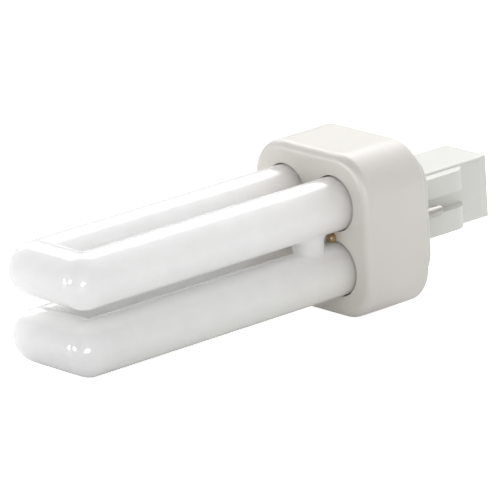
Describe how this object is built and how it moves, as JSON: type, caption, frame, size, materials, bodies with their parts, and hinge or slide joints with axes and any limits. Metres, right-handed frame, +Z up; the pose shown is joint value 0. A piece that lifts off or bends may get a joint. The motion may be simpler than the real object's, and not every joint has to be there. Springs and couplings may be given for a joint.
{
  "type": "compact fluorescent lamp",
  "caption": "Plug-in fluorescent lamp: U-bent glass tubes joined by a neck, set in a square plastic collar with a stepped cap, side pins and a rectangular post.",
  "frame": {"origin": "centre of the base's seating face, on the lamp's axis", "axes": "+X along the axis towards the glass, Y from pin to pin, +Z up with the lamp lying on one side of its collar"},
  "size_m": [0.122, 0.0366, 0.0366],
  "materials": {
    "phosphor_glass": "glossy glass over a white phosphor coating",
    "white_plastic": "satin moulded white plastic",
    "cap_plastic": "satin moulded white plastic",
    "cement": "dull set cement",
    "amber_cement": "glossy amber drop",
    "pin_metal": "dull plated brass",
    "starter_glass": "clear glass",
    "capacitor_resin": "dipped resin",
    "wire_metal": "drawn wire",
    "sleeve_plastic": "soft tubing"
  },
  "bodies": {
    "root": {"discharge_tube": "phosphor_glass", "tube_housing": "white_plastic", "tube_cement": "cement", "cement_bead": "amber_cement", "base_cap": "cap_plastic", "contact_pin_left": "pin_metal", "contact_pin_right": "pin_metal", "starter_bulb": "starter_glass", "starter_capacitor": "capacitor_resin", "pin_wire_left": "wire_metal", "pin_wire_right": "wire_metal", "starter_wire_upper": "wire_metal", "starter_wire_lower": "wire_metal", "capacitor_link": "wire_metal", "starter_sleeve_upper": "sleeve_plastic", "starter_sleeve_lower": "sleeve_plastic"}
  },
  "joints": []
}
